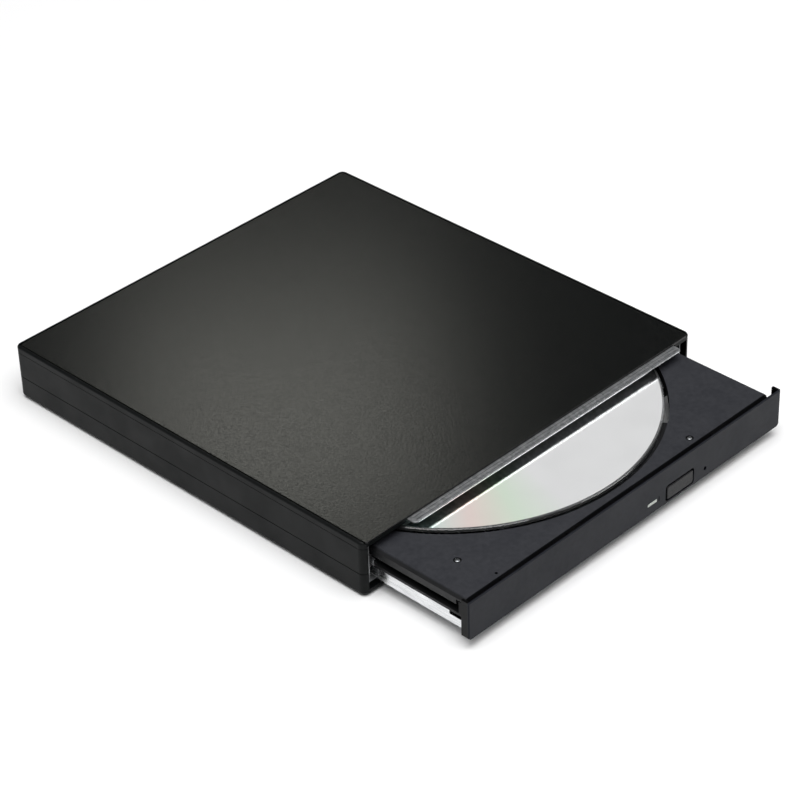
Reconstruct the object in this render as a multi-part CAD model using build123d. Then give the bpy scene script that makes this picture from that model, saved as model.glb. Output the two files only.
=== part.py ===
from build123d import *
import os
from math import cos, radians, sin, sqrt

# External optical drive: a slim tray-loading drive inside a two-part plastic enclosure.
# X to the right as seen from the front, Y towards the back, Z up, in millimetres.
# The origin is the centre of the enclosure's footprint, on the plane that its feet stand on.
# The drawer is modelled part-way out, at the place that the tray joint calls zero.

# Standard parts that the rest is built around
disc_radius = 60.0
disc_thickness = 1.2
disc_hole_radius = 7.5
drive_width = 128.0
drive_depth = 126.0
drive_height = 12.7

# Enclosure
side_wall = 1.8
side_gap = 1.2              # drive case to enclosure wall
floor_thickness = 1.4
rib_height = 1.0            # ribs that the drive lies on
top_gap = 0.4
roof_thickness = 1.6
foot_height = 0.8
rear_space = 13.95          # room behind the drive for the bridge board
front_reach = 0.25          # drive case ahead of the enclosure's front
parting_height = 6.7        # bottom shell's height
corner_radius = 2.0
seam_depth = 0.15           # shadow groove along the parting line
seam_height = 0.12          # in each shell
line_drop = 2.1             # fine line round the sides, below the top
line_height = 0.15
line_depth = 0.1
plate_thickness = 0.6
plate_rim = 0.9
plate_gap = 0.35
plate_bevel = 0.45
foot_radius = 5.0
foot_sink = 0.6
screw_head_radius = 2.1
screw_radius = 1.05
boss_radius = 2.8

# Sheet metal of the drive
sheet = 0.4
hem_height = 0.7
hem_depth = 0.6
cover_reach = 2.9           # cover's raised lip ahead of the enclosure
lip_depth = 3.0             # raised lip behind the enclosure's front
lip_gap = 0.1               # lip's top to the top plate
lip_groove = 0.2            # fine grooves along the lip
lip_groove_width = 0.25
case_inset = 1.3            # case and cover, in behind the enclosure's front
cover_left_inset = 13.6     # hem's left end in from the case's side
cover_right_inset = 4.5

# Drawer
drawer_open = 30.8          # opening at the modelled place
drawer_travel = 127.0       # whole stroke
bezel_thickness = 2.7
bezel_height = 12.3
bezel_overhang = 0.2        # bezel past the case's side
bezel_lip = 0.6
trough_width = 2.7
trough_depth = 2.5
tray_side_gap = 1.8         # tray's side to the case's outer face
tray_height = 6.3
tray_skin = 1.4
tray_web = 1.2
side_chamfer = 1.0
groove_height = 2.5
groove_depth = 2.4
recess_gap = 1.3            # disc's edge to the recess wall
recess_floor = 1.0
disc_float = 1.0            # disc's underside to the recess floor
disc_proud = 0.6            # disc's top above the tray's top
undertray_right = 36.0
pip_radius = 0.75           # heads of the undertray's screws
pip_well = 1.15
tray_board_left = -6.0
tray_board_right = 28.5
tray_board_depth = 12.4
ribbon_width = 14.0

# Telescoping rails
rail_height = 2.1
rail_front_inset = 16.0
rail_rear_inset = 4.0
guide_web = 0.4

# Button, lamp and emergency hole on the bezel
button_width = 11.0
button_height = 4.2
button_x = 20.2
button_centre = 3.5         # above the bezel's lower edge
button_gap = 0.55
button_travel = 0.6
lamp_x = 8.5
lamp_width = 3.8
lamp_height = 0.9
lamp_centre = 3.65
notch_offset = 0.8          # slit beside the lamp
notch_width = 0.35
notch_height = 1.6
pinhole_x = 31.1
pinhole_centre = 3.1
pinhole_radius = 0.6

# Traverse: spindle, rods and pickup
traverse_angle = 225.0      # pickup's way out from the spindle, anticlockwise from +X
rod_radius = 1.0
rod_offset = 12.5
running_gap = 0.05
pickup_home = 24.0
track_margin = 3.0          # lens at its furthest, in from the disc's edge
pickup_half = 7.0
lens_radius = 1.9
screw_offset = 17.4
lead_radius = 1.2
shaft_radius = 1.5
rotor_radius = 11.2
turntable_radius = 14.0

# Rear panel
board_thickness = 1.0
board_width = 100.0
usb_x = -22.0
usb_width = 7.6
usb_height = 3.8
usb_depth = 9.0
dc_x = 24.0
dc_width = 8.0
dc_height = 7.2
dc_bore_radius = 1.75
dc_pin_radius = 0.65
plug_x = -29.0
plug_width = 38.0

# Places worked out from the sizes above
shell_width = drive_width + 2 * (side_gap + side_wall)
shell_depth = drive_depth - front_reach + rear_space + side_wall
front = -shell_depth / 2
rear = shell_depth / 2
half_shell = shell_width / 2
half_drive = drive_width / 2
shell_low = foot_height
floor_top = shell_low + floor_thickness
case_low = floor_top + rib_height
case_top = case_low + drive_height
roof_low = case_top + top_gap
shell_top = roof_low + roof_thickness
parting = shell_low + parting_height
case_front = front - front_reach
case_rear = case_front + drive_depth
case_floor = case_low + sheet
case_inner = half_drive - sheet
cover_low = case_top - sheet
hem_front = front - cover_reach
lip_top = shell_top - plate_thickness - lip_gap
lip_rear = front + lip_depth
lip_left = -half_drive + cover_left_inset
lip_right = half_drive - cover_right_inset

bezel_front = case_front - 1.0 - bezel_thickness - drawer_open
bezel_back = bezel_front + bezel_thickness
bezel_low = case_low - 0.1
bezel_top = bezel_low + bezel_height
tray_front = bezel_front + bezel_lip + trough_width
tray_rear = case_rear - sheet - 2.3 - drawer_open
tray_top = case_top - 2.0
tray_low = tray_top - tray_height
tray_half = half_drive - tray_side_gap
skin_low = tray_top - tray_skin
disc_top = tray_top + disc_proud
disc_low = disc_top - disc_thickness
recess_top = disc_low - disc_float
recess_low = recess_top - recess_floor
recess_radius = disc_radius + recess_gap
spindle_y = case_front + disc_radius + 3.0 - drawer_open
groove_top = tray_top - 3.0
groove_low = groove_top - groove_height
under_low = case_floor + 0.3
under_top = under_low + sheet
under_rear = tray_rear - 12.3
inner_front = tray_front + tray_web

chassis_low = under_top + 0.7
chassis_top = recess_low - 0.7
rod_z = chassis_low + 2.6
pickup_low = chassis_low + 0.4
pickup_top = chassis_top - 0.4
pad_low = disc_low - 0.4
pickup_travel = disc_radius - track_margin - pickup_home
rod_end = pickup_home + pickup_travel + 9.0
chassis_side = screw_offset + 4.6

board_low = floor_top + 2.0
board_top = board_low + board_thickness
inner_rear = rear - side_wall
plug_meet = case_rear + 1.0
rear_board_low = case_floor + 0.8
rear_board_top = rear_board_low + board_thickness
dc_z = board_top + dc_height / 2
tray_board_low = under_top + 0.7
tray_board_top = tray_board_low + 0.8
tray_board_front = inner_front + 0.6
tray_board_rear = tray_board_front + tray_board_depth
ribbon_start = tray_board_rear - 1.4
button_z = bezel_low + button_centre
lamp_z = bezel_low + lamp_centre
pinhole_z = bezel_low + pinhole_centre
overlap = 1.0               # cutters run this far past what they cut


def block(x0, x1, y0, y1, z0, z1):
    """A box between two corners."""
    size = Box(x1 - x0, y1 - y0, z1 - z0)
    return Pos((x0 + x1) / 2, (y0 + y1) / 2, (z0 + z1) / 2) * size


def post(x, y, z0, z1, radius):
    """An upright cylinder."""
    return Pos(x, y, (z0 + z1) / 2) * Cylinder(radius, z1 - z0)


def tube(x, y, z0, z1, outer, inner):
    """An upright tube."""
    return post(x, y, z0, z1, outer) - post(x, y, z0 - overlap, z1 + overlap, inner)


def bar_x(x0, x1, y, z, radius):
    """A cylinder along X."""
    return Pos((x0 + x1) / 2, y, z) * Rot(0, 90, 0) * Cylinder(radius, x1 - x0)


def bar_y(x, y0, y1, z, radius):
    """A cylinder along Y."""
    return Pos(x, (y0 + y1) / 2, z) * Rot(90, 0, 0) * Cylinder(radius, y1 - y0)


def mirrored(solid):
    """The same piece on the other side of the centre plane."""
    return mirror(solid, about=Plane.YZ)


def on_traverse(solid):
    """Turn a piece built with the spindle at the origin and the pickup's way along +X into its place."""
    return Pos(0, spindle_y, 0) * Rot(0, 0, traverse_angle) * solid


def shell_outline(z0, z1):
    """The enclosure's plan with its rounded corners."""
    plan = block(-half_shell, half_shell, front, rear, z0, z1)
    return fillet(plan.edges().filter_by(Axis.Z), corner_radius)


def side_groove(z0, z1, depth):
    """A shallow groove round the enclosure's outside."""
    inner = Pos(0, 0, (z0 + z1) / 2) * Box(shell_width - 2 * depth, shell_depth - 2 * depth, z1 - z0)
    inner = fillet(inner.edges().filter_by(Axis.Z), corner_radius - depth)
    return shell_outline(z0, z1) - inner


def rear_cutters():
    """Openings through the rear wall for the two sockets."""
    side = usb_width / 2 + 0.3
    usb = block(usb_x - side, usb_x + side, inner_rear - overlap, rear + overlap,
                board_top - 0.3, board_top + usb_height + 0.3)
    dc = bar_y(dc_x, inner_rear - overlap, rear + overlap, dc_z, 3.5)
    return usb + dc


def shell_screw_places():
    x = half_shell - 10.0
    return [(-x, inner_rear - 6.0), (x, inner_rear - 6.0)]


def foot_places():
    x = half_shell - 13.0
    y = shell_depth / 2 - 18.0
    return [(-x, -y), (x, -y), (-x, y), (x, y)]


def board_post_places():
    x = board_width / 2 - 6.0
    return [(-x, inner_rear - 3.0), (x, inner_rear - 3.0)]


# ---- enclosure ----
def make_upper_shell():
    body = shell_outline(parting, shell_top)
    rim = [e for e in body.edges().group_by(Axis.Z)[-1] if e.center().Y > front + corner_radius / 2]
    body = fillet(rim, 0.7)
    inner = half_shell - side_wall
    body -= block(-inner, inner, front - overlap, inner_rear, parting - overlap, roof_low)
    edge = half_shell - plate_rim
    body -= block(-edge, edge, front - overlap, rear - plate_rim, shell_top - plate_thickness,
                  shell_top + overlap)
    body -= block(lip_left - 0.3, lip_right + 0.3, front - overlap, lip_rear + 0.8, roof_low - overlap,
                  shell_top - plate_thickness)
    for x, y in shell_screw_places():
        body += post(x, y, parting, roof_low, boss_radius)
        body -= post(x, y, parting - overlap, parting + 4.0, screw_radius)
    line_top = shell_top - line_drop
    body -= side_groove(line_top - line_height, line_top, line_depth)
    body -= side_groove(parting, parting + seam_height, seam_depth)
    return body - rear_cutters()


def make_top_plate():
    edge = half_shell - plate_rim - plate_gap
    back = rear - plate_rim - plate_gap
    plate = block(-edge, edge, front, back, shell_top - plate_thickness, shell_top)
    plate &= shell_outline(shell_top - plate_thickness, shell_top)
    tip = plate.edges().filter_by(Axis.X).group_by(Axis.Y)[0].sort_by(Axis.Z)[-1]
    return chamfer(tip, plate_bevel)


def make_bottom_shell():
    body = shell_outline(shell_low, parting)
    rim = [e for e in body.edges().group_by(Axis.Z)[0] if e.center().Y > front + corner_radius / 2]
    body = fillet(rim, 0.6)
    inner = half_shell - side_wall
    body -= block(-inner, inner, front - overlap, inner_rear, floor_top, parting + overlap)
    for side in (-1, 1):
        rib = side * (half_drive - 14.0)
        body += block(rib - 1.2, rib + 1.2, case_front + 5.0, case_rear - 5.0, floor_top, case_low)
        for y in (-40.0, 0.0, 40.0):
            low, high = sorted((side * half_drive, side * inner))
            body += block(low, high, y - 3.0, y + 3.0, floor_top, parting - 0.6)
        low, high = sorted((side * (inner - 0.6), side * inner))
        body += block(low, high, front + 10.0, inner_rear - 10.0, parting - 1.5, parting + 1.0)
    for x, y in board_post_places():
        body += post(x, y, floor_top, board_low, 2.0)
    for x, y in shell_screw_places():
        body += post(x, y, floor_top, parting, boss_radius)
        body -= post(x, y, shell_low - overlap, parting + overlap, screw_radius + 0.25)
        body -= post(x, y, shell_low - overlap, shell_low + 0.7, screw_head_radius + 0.2)
    for x, y in foot_places():
        body -= post(x, y, shell_low - overlap, shell_low + foot_sink, foot_radius)
    body -= side_groove(parting - seam_height, parting, seam_depth)
    return body - rear_cutters()


def make_rubber_feet():
    feet = []
    for x, y in foot_places():
        foot = post(x, y, 0, shell_low + foot_sink, foot_radius)
        feet.append(chamfer(foot.edges().group_by(Axis.Z)[0], 0.35))
    return Compound(feet)


def make_shell_screws():
    screws = []
    for x, y in shell_screw_places():
        head_low = shell_low + 0.1
        head_top = shell_low + 0.7
        screw = post(x, y, head_low, head_top, screw_head_radius)
        screw += post(x, y, head_top, parting + 3.5, screw_radius)
        for turn in (0, 90):
            screw -= Pos(x, y, head_low) * Rot(0, 0, turn) * Box(2.6, 0.5, 0.7)
        screws.append(screw)
    return Compound(screws)


# ---- bridge board and sockets ----
def make_bridge_board():
    half = board_width / 2
    board = block(-half, half, plug_meet + 0.4, inner_rear - 0.35, board_low, board_top)
    for x, y in shell_screw_places():
        board -= post(x, y, board_low - overlap, board_top + overlap, boss_radius + 0.4)
    return board


def make_bridge_chips():
    y = (plug_meet + 3.0 + inner_rear) / 2
    chips = [block(-4.5, 4.5, y - 3.5, y + 3.5, board_top, board_top + 1.2)]
    chips.append(block(8.0, 12.8, y - 1.2, y + 1.2, board_top, board_top + 1.5))
    for x in (-12.5, -9.5, 15.2, 34.0, 37.0, 40.0):
        chips.append(block(x - 0.9, x + 0.9, y - 0.6, y + 0.6, board_top, board_top + 0.9))
    return Compound(chips)


def make_usb_socket():
    half = usb_width / 2
    mouth = rear - 0.5
    low = board_top
    high = board_top + usb_height
    body = block(usb_x - half, usb_x + half, mouth - usb_depth, mouth, low, high)
    body = chamfer(body.edges().filter_by(Axis.Y).group_by(Axis.Z)[0], 0.9)
    wall = 0.35
    hollow = block(usb_x - half + wall, usb_x + half - wall, mouth - usb_depth + wall, mouth + overlap,
                   low + wall, high - wall)
    hollow = chamfer(hollow.edges().filter_by(Axis.Y).group_by(Axis.Z)[0], 0.7)
    return body - hollow


def make_usb_tongue():
    mouth = rear - 0.5
    back = mouth - usb_depth + 0.35
    mid = board_top + usb_height / 2
    base = block(usb_x - 2.6, usb_x + 2.6, back, back + 3.0, mid - 1.2, mid + 1.2)
    return base + block(usb_x - 1.9, usb_x + 1.9, back + 3.0, mouth - 1.0, mid - 0.1, mid + 0.8)


def make_dc_socket():
    half = dc_width / 2
    body = block(dc_x - half, dc_x + half, inner_rear - 9.8, inner_rear, board_top, board_top + dc_height)
    body += bar_y(dc_x, inner_rear, rear - 0.3, dc_z, 3.2)
    return body - bar_y(dc_x, rear - 9.5, rear + overlap, dc_z, dc_bore_radius)


def make_dc_pin():
    return bar_y(dc_x, rear - 9.5, rear - 1.6, dc_z, dc_pin_radius)


def make_board_connector():
    half = plug_width / 2 + 2.0
    body = block(plug_x - half, plug_x + half, plug_meet, plug_meet + 3.0, board_top, board_top + 4.4)
    return chamfer(body.edges().filter_by(Axis.Z), 0.4)


# ---- fixed pieces of the drive ----
def make_drive_bottom_case():
    pan = block(-half_drive, half_drive, front + case_inset, case_rear, case_low, cover_low)
    pan -= block(-case_inner, case_inner, case_front - overlap, case_rear - sheet, case_floor,
                 cover_low + overlap)
    for side in (-1, 1):
        low, high = sorted((side * (case_inner - overlap), side * (half_drive + overlap)))
        pan -= block(low, high, case_front - overlap, case_rear - sheet, cover_low - 3.5, cover_low + overlap)
    pan -= block(plug_x - plug_width / 2, plug_x + plug_width / 2, case_rear - 2.0, case_rear + overlap,
                 rear_board_top, rear_board_top + 4.0)
    for x, y in rear_board_posts():
        pan += post(x, y, case_floor, rear_board_low, 1.8)
    for x in case_screw_places():
        pan -= bar_y(x, case_rear - 2.0, case_rear + overlap, cover_low - 2.2, 0.7)
    return pan


def rear_board_posts():
    return [(-50.0, case_rear - 9.0), (-10.0, case_rear - 9.0), (16.0, case_rear - 9.0)]


def case_screw_places():
    x = half_drive - 20.0
    return [-x, x]


def make_drive_top_cover():
    lid = block(-half_drive, half_drive, front + case_inset, case_rear, cover_low, case_top)
    lid -= block(lip_left, lip_right, front - overlap, lip_rear, cover_low - overlap, case_top + overlap)
    lip = block(lip_left, lip_right, hem_front, lip_rear, lip_top - sheet, lip_top)
    lip = fillet(lip.edges().filter_by(Axis.Z).group_by(Axis.Y)[0], 1.2)
    riser = block(lip_left, lip_right, lip_rear, lip_rear + sheet, cover_low, lip_top)
    hem = block(lip_left + 1.2, lip_right - 1.2, hem_front, hem_front + hem_depth, lip_top - hem_height,
                lip_top)
    lid = lid + riser + lip + hem
    for y in (hem_front + hem_depth + 0.15, hem_front + 1.9):
        lid -= block(lip_left + 1.2, lip_right - 1.2, y, y + lip_groove_width, lip_top - lip_groove,
                     lip_top + overlap)
    for side in (-1, 1):
        low, high = sorted((side * case_inner, side * half_drive))
        lid += block(low, high, front + case_inset, case_rear - sheet, cover_low - 3.5, cover_low)
    for x in case_screw_places():
        lid += block(x - 4.0, x + 4.0, case_rear, case_rear + sheet, cover_low - 4.5, case_top)
        lid -= bar_y(x, case_rear - overlap, case_rear + overlap, cover_low - 2.2, 0.7)
    nose = [e for e in lid.edges().filter_by(Axis.X) if abs(e.center().Y - hem_front) < 0.01]
    return fillet(nose, 0.28)


def make_case_screws():
    screws = []
    for x in case_screw_places():
        z = cover_low - 2.2
        screw = bar_y(x, case_rear + sheet, case_rear + sheet + 0.5, z, 1.4)
        screw += bar_y(x, case_rear - 1.6, case_rear + sheet, z, 0.7)
        for turn in (0, 90):
            screw -= Pos(x, case_rear + sheet + 0.5, z) * Rot(0, turn, 0) * Box(1.8, 0.5, 0.35)
        screws.append(screw)
    return Compound(screws)


def make_guide(side):
    inner = tray_half + 0.3
    body = block(inner, case_inner, front + case_inset + 0.3, case_rear - 3.0, groove_low - 0.6,
                 groove_top + 0.6)
    body -= block(inner - overlap, case_inner - guide_web, case_front - overlap, case_rear + overlap,
                  groove_low, groove_top)
    return body if side > 0 else mirrored(body)


def make_rear_board():
    return block(-54.0, 20.0, case_rear - 12.5, case_rear - 0.6, rear_board_low, rear_board_top)


def make_rear_chips():
    y = case_rear - 8.6
    chips = [block(6.0, 14.0, y - 3.6, y + 3.6, rear_board_top, rear_board_top + 1.1)]
    for x in (-6.0, -3.2, -0.4):
        chips.append(block(x - 0.8, x + 0.8, y - 0.6, y + 0.6, rear_board_top, rear_board_top + 0.8))
    return Compound(chips)


def make_drive_connector():
    half = plug_width / 2
    return block(plug_x - half, plug_x + half, case_rear - 2.6, plug_meet, rear_board_top,
                 rear_board_top + 4.0)


def make_fixed_ribbon():
    start = case_rear - 11.0
    flat = block(0, ribbon_width, spindle_y + 19.0, start, case_floor, case_floor + 0.1)
    return flat + block(0, ribbon_width, start - 0.1, start, case_floor, rear_board_low)


def latch_place():
    """Where the latch's pivot stands in the tray, and the post's place in the drive."""
    return 49.5, tray_front + 3.7


def make_latch_post():
    x, y = latch_place()
    stem_y = y + 7.7 + drawer_open
    stem = post(x - 2.5, stem_y, case_floor, case_floor + 5.0, 0.9)
    return stem + post(x - 2.5, stem_y, case_floor, case_floor + 0.5, 2.2)


# ---- drawer ----
def make_rail(side):
    outer = case_inner - guide_web - 0.2
    inner = tray_half - groove_depth + 0.3
    mid = (groove_low + groove_top) / 2
    y0 = case_front + rail_front_inset - drawer_open / 2
    y1 = case_rear - rail_rear_inset - drawer_open / 2
    rail = block(inner, outer, y0, y1, mid - rail_height / 2, mid + rail_height / 2)
    rail -= block(inner - overlap, inner + 1.1, y0 + 3.0, y1 - 3.0, mid - 0.45, mid + 0.45)
    return rail if side > 0 else mirrored(rail)


def slot_sector():
    """The see-through gap beside the disc, on the right."""
    outer = recess_radius
    ring = tube(0, spindle_y, recess_low - overlap, tray_top + overlap, outer, recess_radius - 2.5)
    reach = outer * 2
    first, last = radians(-56.0), radians(-24.0)
    wedge = Polygon((0, 0), (reach * cos(first), reach * sin(first)),
                    (reach * cos(last), reach * sin(last)), align=None)
    wedge = Pos(0, spindle_y, recess_low - overlap) * extrude(wedge, tray_height)
    return ring & wedge


def undertray_screw_places():
    return [(-tray_half + 10.8, tray_front + 12.6), (30.9, tray_front + 2.3)]


def pillar_places():
    return undertray_screw_places() + [(30.0, under_rear - 20.0), (-tray_half + 12.2, under_rear - 8.0)]


def isolator_places():
    """Ears of the traverse, in the traverse's own plan."""
    return [(-20.0, 0.0), (rod_end - 36.0, -20.0), (rod_end - 16.0, chassis_side + 4.0)]


def make_tray():
    web = tray_half - groove_depth - tray_web
    body = block(-tray_half, tray_half, tray_front, tray_rear, tray_low, tray_top)
    body = chamfer([e for e in body.edges().filter_by(Axis.Y).group_by(Axis.Z)[-1]], side_chamfer)
    body -= block(-web, web, inner_front, tray_rear + overlap, tray_low - overlap, skin_low)
    dish = post(0, spindle_y, recess_low, tray_top, recess_radius + tray_web)
    dish &= block(-web, web, inner_front, tray_rear, recess_low, tray_top)
    body += dish
    body -= post(0, spindle_y, recess_top, tray_top + overlap, recess_radius)
    body -= post(0, spindle_y, recess_top - 0.3, tray_top + overlap, 41.0)
    for side in (-1, 1):
        low, high = sorted((side * (tray_half - groove_depth), side * (tray_half + overlap)))
        body -= block(low, high, tray_front - overlap, tray_rear + overlap, groove_low, groove_top)
        low, high = sorted((side * (tray_half - 2.1), side * (tray_half + overlap)))
        body -= block(low, high, tray_front - overlap, tray_front + 3.0, groove_low - 0.1, skin_low)
    window = post(0, 0, recess_low - overlap, recess_top + overlap, turntable_radius + 1.5)
    window += block(0, rod_end, -11.0, 11.0, recess_low - overlap, recess_top + overlap)
    body -= on_traverse(window)
    body -= slot_sector()
    for x, y in pillar_places():
        under_recess = sqrt(x * x + (y - spindle_y) ** 2) < recess_radius + tray_web
        top = recess_low if under_recess else skin_low
        body += post(x, y, under_top, top, 1.8)
    for x, y in undertray_screw_places():
        body -= post(x, y, under_top - overlap, tray_top + overlap, 0.5)
        body -= post(x, y, tray_top - 0.6, tray_top + overlap, pip_well)
    body -= post(-tray_half + 13.5, tray_front + 1.4, tray_top - 0.8, tray_top + overlap, 0.45)
    for x, y in isolator_places():
        boss = on_traverse(tube(x, y, chassis_low + 4.9, recess_low, 2.5, 0.8))
        body += boss
    x, y = latch_place()
    body += post(x, y, chassis_low + 3.4, skin_low, 2.0)
    return body


def make_tray_screws():
    screws = []
    for x, y in undertray_screw_places():
        screw = post(x, y, tray_top - 0.6, tray_top + 0.1, pip_radius)
        screw += post(x, y, under_top, tray_top - 0.6, 0.5)
        screw = chamfer(screw.edges().group_by(Axis.Z)[-1], 0.2)
        screws.append(screw)
    return Compound(screws)


def make_tray_bezel():
    half = half_drive + bezel_overhang
    plate = block(-half, half, bezel_front, bezel_back, bezel_low, bezel_top)
    plate = chamfer(plate.edges().filter_by(Axis.Y).group_by(Axis.Z)[0], 0.8)
    face = plate.faces().sort_by(Axis.Y)[0]
    plate = chamfer(face.edges(), 0.3)
    plate -= block(-half + 0.8, half - 0.8, bezel_front + bezel_lip, bezel_back + overlap,
                   bezel_top - trough_depth, bezel_top + overlap)
    w, h = button_width / 2 + button_gap, button_height / 2 + button_gap
    hole = block(button_x - w, button_x + w, bezel_front - overlap, bezel_back + overlap,
                 button_z - h, button_z + h)
    plate -= fillet(hole.edges().filter_by(Axis.Y), 0.9)
    lamp_left, lamp_right = lamp_x - lamp_width / 2, lamp_x + lamp_width / 2
    plate -= block(lamp_left, lamp_right, bezel_front - overlap, bezel_back + overlap,
                   lamp_z - lamp_height / 2, lamp_z + lamp_height / 2)
    notch_x = lamp_x + lamp_width / 2 + notch_offset
    plate -= block(notch_x, notch_x + notch_width, bezel_front - overlap, bezel_front + 0.9,
                   lamp_z - notch_height / 2, lamp_z + notch_height / 2)
    plate -= bar_y(pinhole_x, bezel_front - overlap, bezel_back + overlap, pinhole_z, pinhole_radius)
    for side in (-1, 1):
        low, high = sorted((side * (tray_half - 1.8), side * (tray_half + 0.1)))
        plate += block(low, high, bezel_back, bezel_back + 2.6, groove_low, skin_low - 0.2)
    for x in (-46.0, -20.0, 6.0, 40.0):
        plate += block(x - 3.0, x + 3.0, bezel_back, tray_front, tray_low + 0.6, bezel_top - trough_depth)
    return plate


def make_status_lens():
    w, h = lamp_width / 2, lamp_height / 2
    return block(lamp_x - w, lamp_x + w, bezel_front - 0.08, inner_front + 0.6, lamp_z - h, lamp_z + h)


def make_undertray():
    left = -tray_half + 0.1
    pan = block(left, undertray_right, inner_front, under_rear, under_low, under_top)
    pan += block(left, left + sheet, inner_front - 0.8, under_rear, under_low, tray_low - 0.1)
    right = undertray_right
    pan += block(right - sheet, right, inner_front, under_rear, under_low, under_top + 1.4)
    pan += block(left, undertray_right, under_rear - sheet, under_rear, under_low, under_top + 0.9)
    pan -= block(left - overlap, left + overlap, inner_front - overlap, tray_front + 5.5,
                 tray_low - 1.2, tray_low)
    pan -= block(-0.5, ribbon_width + 0.5, ribbon_start - 0.6, ribbon_start + 0.8, under_low - overlap,
                 under_top + overlap)
    return pan


def make_tray_board():
    return block(tray_board_left, tray_board_right, tray_board_front, tray_board_rear,
                 tray_board_low, tray_board_top)


def make_tray_chips():
    y = tray_board_rear - 4.8
    left = tray_board_left + 1.5
    chips = [block(left, left + 8.0, y - 4.0, y + 4.0, tray_board_top, tray_board_top + 1.2)]
    chips.append(block(6.0, 11.0, y - 2.5, y + 2.5, tray_board_top, tray_board_top + 1.2))
    for x in (14.5, 17.5, 20.5):
        chips.append(block(x - 0.8, x + 0.8, y - 0.6, y + 0.6, tray_board_top, tray_board_top + 0.8))
    return Compound(chips)


def make_tray_ribbon():
    start = ribbon_start
    flat = block(0, ribbon_width, start, under_rear, under_low - 0.1, under_low)
    return flat + block(0, ribbon_width, start, start + 0.1, under_low - 0.1, tray_board_low)


def make_eject_switch():
    y = inner_front + 1.6
    body = block(button_x - 2.2, button_x + 2.2, y, y + 3.0, tray_board_top, tray_board_top + 2.0)
    return body + bar_y(button_x, y - 0.8, y, tray_board_top + 1.0, 0.6)


def make_status_led():
    return block(lamp_x - 1.5, lamp_x + 1.5, inner_front + 0.8, inner_front + 2.3,
                 tray_board_top, tray_board_top + 1.0)


def make_eject_button():
    w, h = button_width / 2, button_height / 2
    cap = block(button_x - w, button_x + w, bezel_front - 0.15, bezel_front + 1.9, button_z - h, button_z + h)
    cap = fillet(cap.edges().filter_by(Axis.Y), 0.7)
    cap = chamfer(cap.faces().sort_by(Axis.Y)[0].edges(), 0.25)
    z = tray_board_top + 1.0
    stem_end = inner_front + 1.6 - 0.8 - button_travel - 0.05
    return cap + block(button_x - 1.5, button_x + 1.5, bezel_front + 1.5, stem_end, z - 0.55, z + 0.55)


def make_solenoid():
    x0 = 37.5
    y0 = inner_front + 0.3
    coil_z = skin_low - 2.6
    frame = block(x0, x0 + 9.0, y0, y0 + 5.0, skin_low - 0.5, skin_low)
    frame += block(x0, x0 + 0.8, y0, y0 + 5.0, coil_z - 2.3, skin_low)
    frame += block(x0 + 7.6, x0 + 8.4, y0, y0 + 5.0, coil_z - 2.3, skin_low)
    return frame + bar_x(x0 + 8.4, x0 + 9.6, y0 + 2.5, coil_z, 0.9)


def make_solenoid_coil():
    x0 = 38.3
    y0 = inner_front + 0.3
    return bar_x(x0, x0 + 6.8, y0 + 2.5, skin_low - 2.6, 2.0)


def make_latch_pin():
    x, y = latch_place()
    pin = post(x, y, chassis_low + 1.2, chassis_low + 3.4, 0.8)
    return pin + post(x, y, chassis_low + 0.8, chassis_low + 1.2, 1.5)


def make_latch_spring():
    x, y = latch_place()
    turns = [Pos(x, y, chassis_low + 3.9 + 0.45 * n) * Torus(2.2, 0.2) for n in range(3)]
    return Compound(turns)


def make_latch_lever():
    x, y = latch_place()
    z0 = chassis_low + 1.5
    z1 = chassis_low + 3.1
    lever = post(x, y, z0, z1, 2.2)
    arm = block(-0.9, 0.9, 0, 10.6, z0, z1)
    arm += block(-2.8, 0.9, 9.2, 10.6, z0, z1)
    lever += Pos(x, y, 0) * Rot(0, 0, -14) * arm
    lever += block(x - 2.9, x, y - 0.7, y + 0.7, z0, z1)
    return lever - post(x, y, z0 - overlap, z1 + overlap, 0.8 + running_gap)


# ---- traverse, in its own plan until it is turned into place ----
def make_traverse_frame():
    low, high, wall = chassis_low, chassis_top, 1.5
    end, side = rod_end, chassis_side
    inner_end, inner_side = end - wall, side - wall
    plan = Polygon((-16, -16), (end, -16), (end, side - 8), (end - 8, side), (-16, side), align=None)
    hollow = Polygon((-14.5, -14.5), (inner_end, -14.5), (inner_end, inner_side - 7.1),
                     (end - 8.6, inner_side), (-14.5, inner_side), align=None)
    frame = Pos(0, 0, low) * extrude(plan, high - low)
    frame -= Pos(0, 0, low - overlap) * extrude(hollow, high - low + 2 * overlap)
    frame += block(-15.0, 14.5, -15.0, side - 1.0, low, low + 0.8)
    frame += block(13.0, 14.5, -15.0, 15.0, low, rod_z + 1.8)
    frame -= block(9.0, 22.0, 13.0, inner_side, low - overlap, high + overlap)
    frame += block(end - 6.8, end - 4.8, screw_offset - 2.2, screw_offset + 2.2, rod_z - 1.8, rod_z + 1.8)
    for rod_y in (-rod_offset, rod_offset):
        frame -= bar_x(13.0 - overlap, end + overlap, rod_y, rod_z, rod_radius)
    frame -= bar_x(end - 7.8, end - 5.2, screw_offset, rod_z, 0.85)
    for x, y in isolator_places():
        ear = post(x, y, low + 3.2, low + 4.0, 3.6)
        if abs(y) > 15:
            wall_y = side - 1.0 if y > 0 else -15.0
            a, b = sorted((y, wall_y))
            ear += block(x - 3.6, x + 3.6, a, b, low + 3.2, low + 4.0)
        else:
            ear += block(x, -15.0, y - 3.6, y + 3.6, low + 3.2, low + 4.0)
        frame += ear
    for x, y in isolator_places():
        frame -= post(x, y, low, high, 2.4)
    return on_traverse(frame)


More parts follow.
